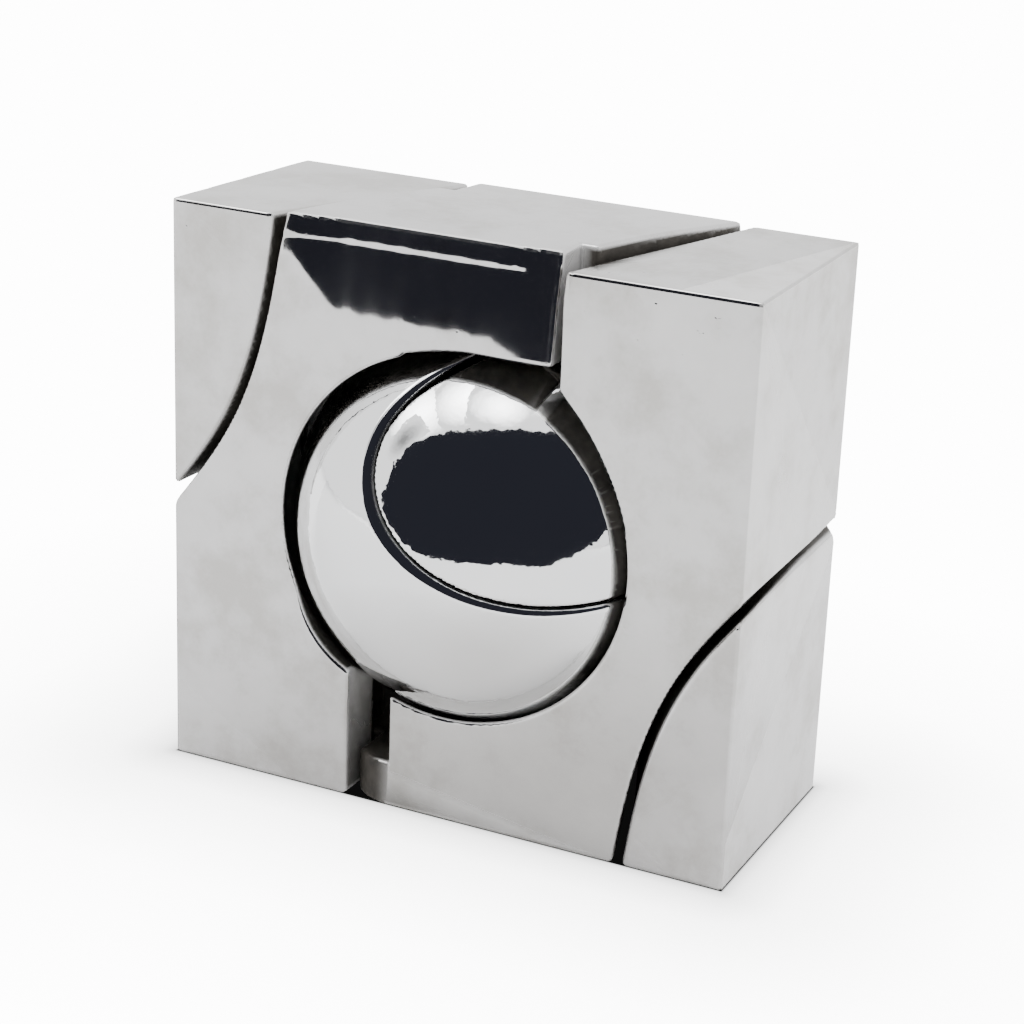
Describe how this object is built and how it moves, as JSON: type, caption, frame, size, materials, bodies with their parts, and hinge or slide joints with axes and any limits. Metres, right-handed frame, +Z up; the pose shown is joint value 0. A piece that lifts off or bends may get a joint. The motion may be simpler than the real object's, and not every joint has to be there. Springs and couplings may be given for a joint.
{
  "type": "metal take-apart puzzle",
  "caption": "Square metal block puzzle of interlocking curved arches that cage a mirror-polished split ball behind round windows; the ball turns in its seat.",
  "frame": {"origin": "centre of the footprint, on the surface the block stands on", "axes": "+X across the wide face, +Y from the front window to the back window, +Z up"},
  "size_m": [0.046, 0.0316, 0.0446],
  "materials": {
    "frame_metal": "polished cast metal with a soft satin sheen",
    "frame_metal_upper": "polished cast metal with a soft satin sheen",
    "ball_chrome": "mirror polish",
    "ball_chrome_b": "mirror polish"
  },
  "bodies": {
    "frame_lower": {"frame_lower": "frame_metal"},
    "frame_upper": {"frame_upper": "frame_metal_upper"},
    "ball_half_a": {"ball_half_a": "ball_chrome"},
    "ball_half_b": {"ball_half_b": "ball_chrome_b"}
  },
  "joints": [
    {"name": "upper_rock", "type": "hinge", "parent": "frame_lower", "child": "frame_upper", "pos_m": [0, 0, 0.0218], "axis": [1, 0, 0], "range_deg": [-1, 1]},
    {"name": "ball_turn", "type": "hinge", "parent": "frame_lower", "child": "ball_half_a", "pos_m": [0.00025, -0.00042, 0.0215], "axis": [-0.4002, 0.4803, 0.7805], "range_deg": [-180, 180]},
    {"name": "ball_turn_b", "type": "hinge", "parent": "frame_lower", "child": "ball_half_b", "pos_m": [0.00025, -0.00042, 0.0215], "axis": [-0.4002, 0.4803, 0.7805], "range_deg": [-180, 180]}
  ],
  "couplings": [
    {"joint": "ball_turn_b", "follows": "ball_turn", "ratio": 1}
  ]
}
